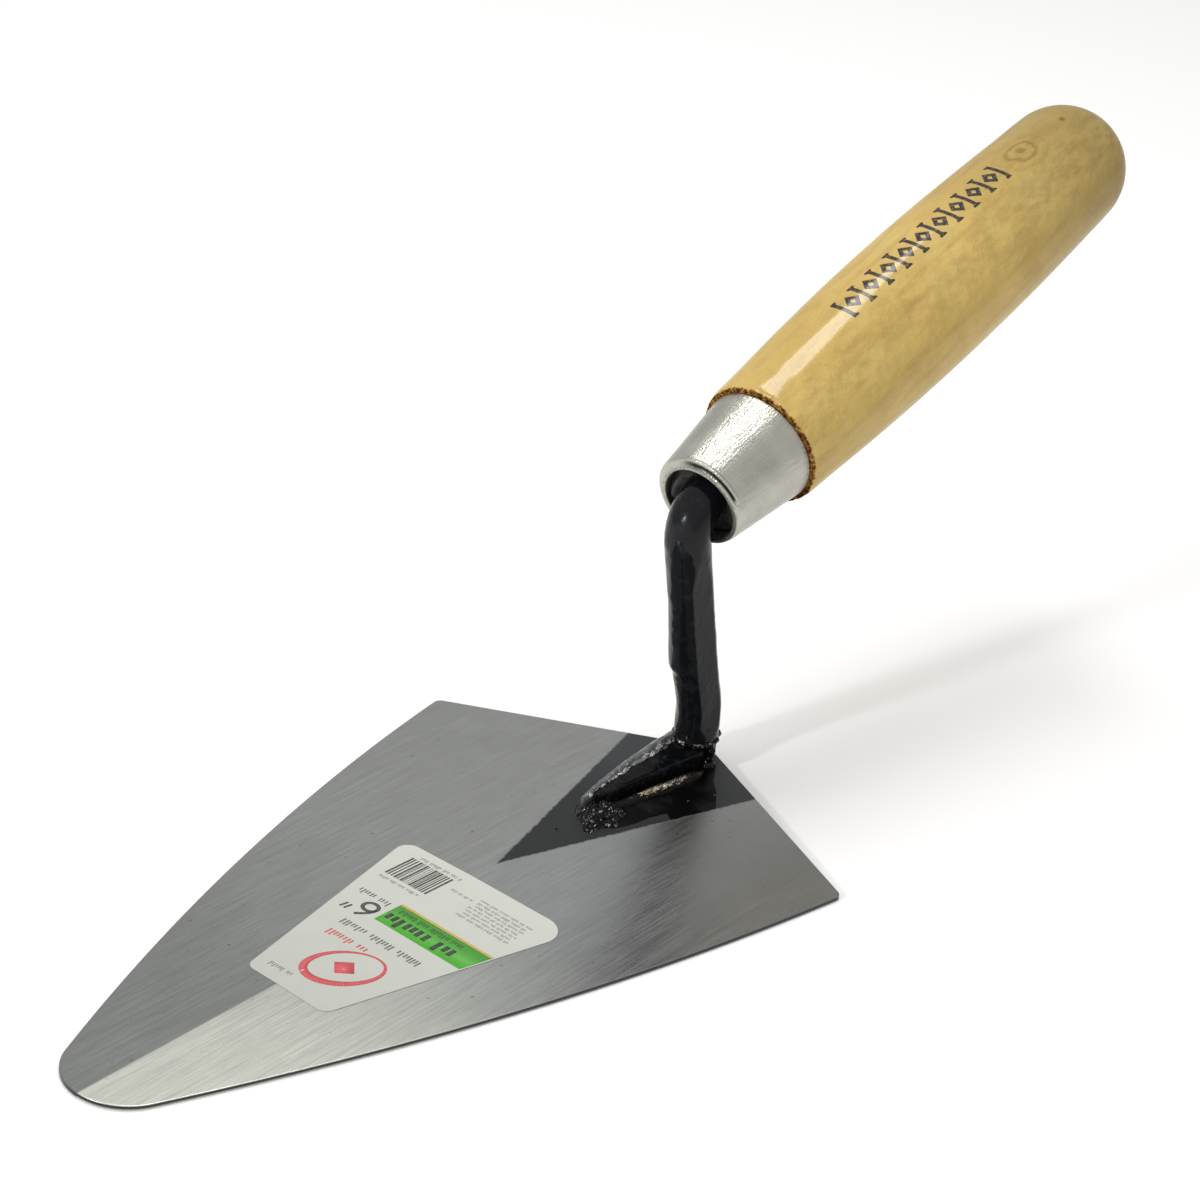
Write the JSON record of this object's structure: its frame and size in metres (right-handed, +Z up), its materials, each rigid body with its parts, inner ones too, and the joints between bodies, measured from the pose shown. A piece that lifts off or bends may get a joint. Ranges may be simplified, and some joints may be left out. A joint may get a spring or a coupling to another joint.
{
  "type": "brick trowel",
  "caption": "Small wide-heeled pointing and brick trowel: thin kite-shaped steel blade, welded wedge foot, cranked round shank, conical ferrule and turned wooden handle",
  "frame": {"origin": "On the blade's flat underside, on its centre line, midway between the two heel corners (the widest station).", "axes": "+X forward to the blade's tip, +Y to the left, +Z up out of the blade's top face, towards the handle."},
  "size_m": [0.2591, 0.0894, 0.1052],
  "materials": {
    "ground_steel": "ground, satin, unground dark heel",
    "black_enamel": "gloss dipped enamel",
    "weld_metal": "rough weld metal, mostly under enamel",
    "nickel_plate": "satin plated steel",
    "lacquered_wood": "clear lacquer",
    "resin": "set resin",
    "sticker": "satin paper label"
  },
  "bodies": {
    "root": {"blade": "ground_steel", "foot": "black_enamel", "shank": "black_enamel", "shank_weld": "weld_metal", "left_weld": "weld_metal", "right_weld": "weld_metal", "toe_weld": "weld_metal", "heel_weld_drip": "weld_metal", "weld_spatter": "weld_metal", "ferrule": "nickel_plate", "handle": "lacquered_wood", "tang_cement": "resin", "label": "sticker"}
  },
  "joints": []
}
